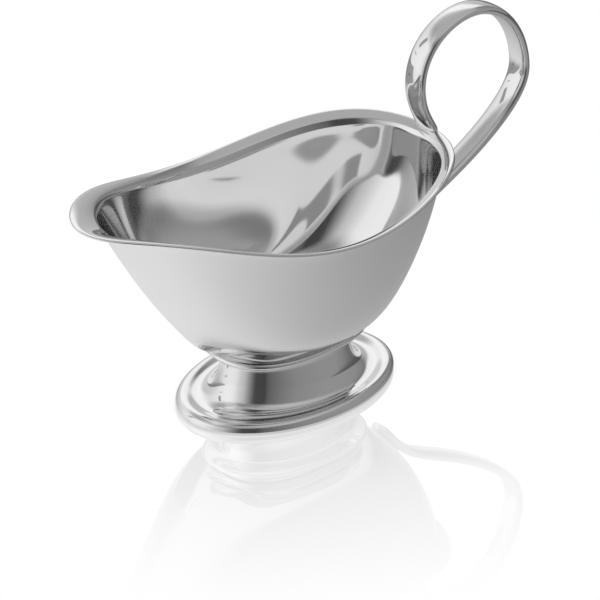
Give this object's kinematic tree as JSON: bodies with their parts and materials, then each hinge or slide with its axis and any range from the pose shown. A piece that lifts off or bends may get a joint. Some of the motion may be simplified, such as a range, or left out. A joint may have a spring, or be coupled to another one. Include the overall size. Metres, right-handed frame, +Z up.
{
  "type": "sauce boat",
  "caption": "Footed sauce boat: a boat-shaped bowl with an everted rim and pouring lip, on a waisted oval foot, with an open scroll handle.",
  "frame": {"origin": "on the surface it stands on, in the middle of the whole length and of the width", "axes": "+Z up, +X towards the handle, -X towards the pouring lip; the XZ plane is the plane of symmetry"},
  "size_m": [0.2076, 0.0878, 0.1226],
  "materials": {
    "satin_steel": "satin outside, mirror polished inside and on the rim",
    "polished_steel": "mirror polished stainless steel",
    "weld_steel": "dressed and polished joint metal"
  },
  "bodies": {
    "root": {"bowl": "satin_steel", "foot": "polished_steel", "foot_weld": "weld_steel", "handle": "polished_steel", "handle_upper_weld": "weld_steel", "handle_lower_weld": "weld_steel"}
  },
  "joints": []
}
